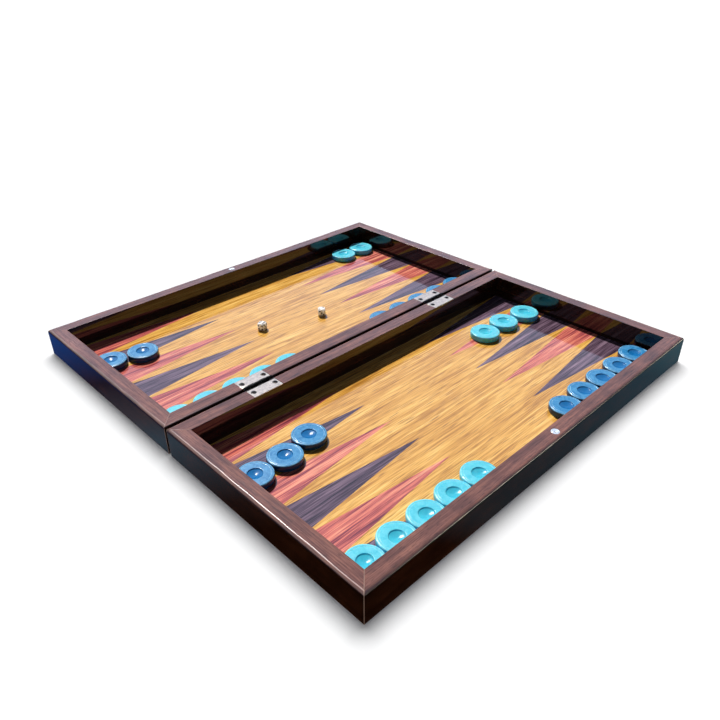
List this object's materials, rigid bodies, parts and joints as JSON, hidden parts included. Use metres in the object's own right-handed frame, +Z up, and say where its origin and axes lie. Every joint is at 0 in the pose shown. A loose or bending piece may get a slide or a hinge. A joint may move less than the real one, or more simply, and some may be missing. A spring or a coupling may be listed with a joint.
{
  "type": "backgammon set",
  "caption": "Folding wooden backgammon board in two hinged, railed halves with inlaid triangular points, round plastic checkers and dice.",
  "frame": {"origin": "on the resting plane, under the middle of the open board", "axes": "+Z up; +Y along the fold towards the back end rails; +X across both halves, from the left half to the right half"},
  "size_m": [0.5, 0.48, 0.0319],
  "materials": {
    "turquoise_plastic": "polished cast plastic, opaque turquoise",
    "blue_plastic": "polished cast plastic, opaque mid blue",
    "ivory_plastic": "polished white plastic with black pips",
    "red_veneer": "padauk-red striped veneer under clear gloss lacquer",
    "purple_veneer": "purple-brown striped veneer under clear gloss lacquer",
    "ground_veneer": "golden straight-grained veneer under clear gloss lacquer",
    "walnut_rail": "dark walnut, semi-gloss on top and high gloss on the faces",
    "walnut_skin": "dark walnut veneer, high gloss",
    "plywood": "plain sanded plywood",
    "magnet_nickel": "nickel-plated disc magnet",
    "hinge_pin_steel": "darkened steel pin",
    "hinge_nickel": "satin nickel-plated sheet with dark knuckles",
    "screw_steel": "nickel-plated countersunk cross-head screws"
  },
  "bodies": {
    "right_half": {"back_hinge_pin": "hinge_pin_steel", "back_hinge_right_leaf": "hinge_nickel", "front_hinge_pin": "hinge_pin_steel", "front_hinge_right_leaf": "hinge_nickel", "right_back_rail": "walnut_rail", "right_bar_rail": "walnut_rail", "right_base_panel": "plywood", "right_dark_points": "purple_veneer", "right_front_rail": "walnut_rail", "right_hinge_screws": "screw_steel", "right_magnet": "magnet_nickel", "right_outer_rail": "walnut_rail", "right_outer_skin": "walnut_skin", "right_play_surface": "ground_veneer", "right_red_points": "red_veneer"},
    "left_half": {"back_hinge_left_leaf": "hinge_nickel", "front_hinge_left_leaf": "hinge_nickel", "left_back_rail": "walnut_rail", "left_bar_rail": "walnut_rail", "left_base_panel": "plywood", "left_dark_points": "purple_veneer", "left_front_rail": "walnut_rail", "left_hinge_screws": "screw_steel", "left_magnet": "magnet_nickel", "left_outer_rail": "walnut_rail", "left_outer_skin": "walnut_skin", "left_play_surface": "ground_veneer", "left_red_points": "red_veneer"},
    "blue_checker_01": {"blue_checker_01": "blue_plastic"},
    "blue_checker_02": {"blue_checker_02": "blue_plastic"},
    "blue_checker_03": {"blue_checker_03": "blue_plastic"},
    "blue_checker_04": {"blue_checker_04": "blue_plastic"},
    "blue_checker_05": {"blue_checker_05": "blue_plastic"},
    "blue_checker_06": {"blue_checker_06": "blue_plastic"},
    "blue_checker_07": {"blue_checker_07": "blue_plastic"},
    "blue_checker_08": {"blue_checker_08": "blue_plastic"},
    "blue_checker_09": {"blue_checker_09": "blue_plastic"},
    "blue_checker_10": {"blue_checker_10": "blue_plastic"},
    "blue_checker_11": {"blue_checker_11": "blue_plastic"},
    "blue_checker_12": {"blue_checker_12": "blue_plastic"},
    "blue_checker_13": {"blue_checker_13": "blue_plastic"},
    "blue_checker_14": {"blue_checker_14": "blue_plastic"},
    "blue_checker_15": {"blue_checker_15": "blue_plastic"},
    "turquoise_checker_01": {"turquoise_checker_01": "turquoise_plastic"},
    "turquoise_checker_02": {"turquoise_checker_02": "turquoise_plastic"},
    "turquoise_checker_03": {"turquoise_checker_03": "turquoise_plastic"},
    "turquoise_checker_04": {"turquoise_checker_04": "turquoise_plastic"},
    "turquoise_checker_05": {"turquoise_checker_05": "turquoise_plastic"},
    "turquoise_checker_06": {"turquoise_checker_06": "turquoise_plastic"},
    "turquoise_checker_07": {"turquoise_checker_07": "turquoise_plastic"},
    "turquoise_checker_08": {"turquoise_checker_08": "turquoise_plastic"},
    "turquoise_checker_09": {"turquoise_checker_09": "turquoise_plastic"},
    "turquoise_checker_10": {"turquoise_checker_10": "turquoise_plastic"},
    "turquoise_checker_11": {"turquoise_checker_11": "turquoise_plastic"},
    "turquoise_checker_12": {"turquoise_checker_12": "turquoise_plastic"},
    "turquoise_checker_13": {"turquoise_checker_13": "turquoise_plastic"},
    "turquoise_checker_14": {"turquoise_checker_14": "turquoise_plastic"},
    "turquoise_checker_15": {"turquoise_checker_15": "turquoise_plastic"},
    "die_1": {"die_1": "ivory_plastic"},
    "die_2": {"die_2": "ivory_plastic"}
  },
  "joints": [
    {"name": "bar_fold", "type": "hinge", "parent": "right_half", "child": "left_half", "pos_m": [0, 0, 0.0301], "axis": [0, -1, 0], "range_deg": [-180, 0]},
    {"name": "lift_blue_checker_01", "type": "slide", "parent": "right_half", "child": "blue_checker_01", "axis": [0, 0, 1], "range_m": [0, 0.04]},
    {"name": "lift_blue_checker_02", "type": "slide", "parent": "right_half", "child": "blue_checker_02", "axis": [0, 0, 1], "range_m": [0, 0.04]},
    {"name": "lift_blue_checker_03", "type": "slide", "parent": "right_half", "child": "blue_checker_03", "axis": [0, 0, 1], "range_m": [0, 0.04]},
    {"name": "lift_blue_checker_04", "type": "slide", "parent": "right_half", "child": "blue_checker_04", "axis": [0, 0, 1], "range_m": [0, 0.04]},
    {"name": "lift_blue_checker_05", "type": "slide", "parent": "right_half", "child": "blue_checker_05", "axis": [0, 0, 1], "range_m": [0, 0.04]},
    {"name": "lift_blue_checker_06", "type": "slide", "parent": "right_half", "child": "blue_checker_06", "axis": [0, 0, 1], "range_m": [0, 0.04]},
    {"name": "lift_blue_checker_07", "type": "slide", "parent": "right_half", "child": "blue_checker_07", "axis": [0, 0, 1], "range_m": [0, 0.04]},
    {"name": "lift_blue_checker_08", "type": "slide", "parent": "right_half", "child": "blue_checker_08", "axis": [0, 0, 1], "range_m": [0, 0.04]},
    {"name": "lift_blue_checker_09", "type": "slide", "parent": "left_half", "child": "blue_checker_09", "axis": [0, 0, 1], "range_m": [0, 0.04]},
    {"name": "lift_blue_checker_10", "type": "slide", "parent": "left_half", "child": "blue_checker_10", "axis": [0, 0, 1], "range_m": [0, 0.04]},
    {"name": "lift_blue_checker_11", "type": "slide", "parent": "left_half", "child": "blue_checker_11", "axis": [0, 0, 1], "range_m": [0, 0.04]},
    {"name": "lift_blue_checker_12", "type": "slide", "parent": "left_half", "child": "blue_checker_12", "axis": [0, 0, 1], "range_m": [0, 0.04]},
    {"name": "lift_blue_checker_13", "type": "slide", "parent": "left_half", "child": "blue_checker_13", "axis": [0, 0, 1], "range_m": [0, 0.04]},
    {"name": "lift_blue_checker_14", "type": "slide", "parent": "left_half", "child": "blue_checker_14", "axis": [0, 0, 1], "range_m": [0, 0.04]},
    {"name": "lift_blue_checker_15", "type": "slide", "parent": "left_half", "child": "blue_checker_15", "axis": [0, 0, 1], "range_m": [0, 0.04]},
    {"name": "lift_turquoise_checker_01", "type": "slide", "parent": "right_half", "child": "turquoise_checker_01", "axis": [0, 0, 1], "range_m": [0, 0.04]},
    {"name": "lift_turquoise_checker_02", "type": "slide", "parent": "right_half", "child": "turquoise_checker_02", "axis": [0, 0, 1], "range_m": [0, 0.04]},
    {"name": "lift_turquoise_checker_03", "type": "slide", "parent": "right_half", "child": "turquoise_checker_03", "axis": [0, 0, 1], "range_m": [0, 0.04]},
    {"name": "lift_turquoise_checker_04", "type": "slide", "parent": "right_half", "child": "turquoise_checker_04", "axis": [0, 0, 1], "range_m": [0, 0.04]},
    {"name": "lift_turquoise_checker_05", "type": "slide", "parent": "right_half", "child": "turquoise_checker_05", "axis": [0, 0, 1], "range_m": [0, 0.04]},
    {"name": "lift_turquoise_checker_06", "type": "slide", "parent": "right_half", "child": "turquoise_checker_06", "axis": [0, 0, 1], "range_m": [0, 0.04]},
    {"name": "lift_turquoise_checker_07", "type": "slide", "parent": "right_half", "child": "turquoise_checker_07", "axis": [0, 0, 1], "range_m": [0, 0.04]},
    {"name": "lift_turquoise_checker_08", "type": "slide", "parent": "right_half", "child": "turquoise_checker_08", "axis": [0, 0, 1], "range_m": [0, 0.04]},
    {"name": "lift_turquoise_checker_09", "type": "slide", "parent": "left_half", "child": "turquoise_checker_09", "axis": [0, 0, 1], "range_m": [0, 0.04]},
    {"name": "lift_turquoise_checker_10", "type": "slide", "parent": "left_half", "child": "turquoise_checker_10", "axis": [0, 0, 1], "range_m": [0, 0.04]},
    {"name": "lift_turquoise_checker_11", "type": "slide", "parent": "left_half", "child": "turquoise_checker_11", "axis": [0, 0, 1], "range_m": [0, 0.04]},
    {"name": "lift_turquoise_checker_12", "type": "slide", "parent": "left_half", "child": "turquoise_checker_12", "axis": [0, 0, 1], "range_m": [0, 0.04]},
    {"name": "lift_turquoise_checker_13", "type": "slide", "parent": "left_half", "child": "turquoise_checker_13", "axis": [0, 0, 1], "range_m": [0, 0.04]},
    {"name": "lift_turquoise_checker_14", "type": "slide", "parent": "left_half", "child": "turquoise_checker_14", "axis": [0, 0, 1], "range_m": [0, 0.04]},
    {"name": "lift_turquoise_checker_15", "type": "slide", "parent": "left_half", "child": "turquoise_checker_15", "axis": [0, 0, 1], "range_m": [0, 0.04]},
    {"name": "lift_die_1", "type": "slide", "parent": "left_half", "child": "die_1", "axis": [0, 0, 1], "range_m": [0, 0.04]},
    {"name": "lift_die_2", "type": "slide", "parent": "left_half", "child": "die_2", "axis": [0, 0, 1], "range_m": [0, 0.04]}
  ]
}
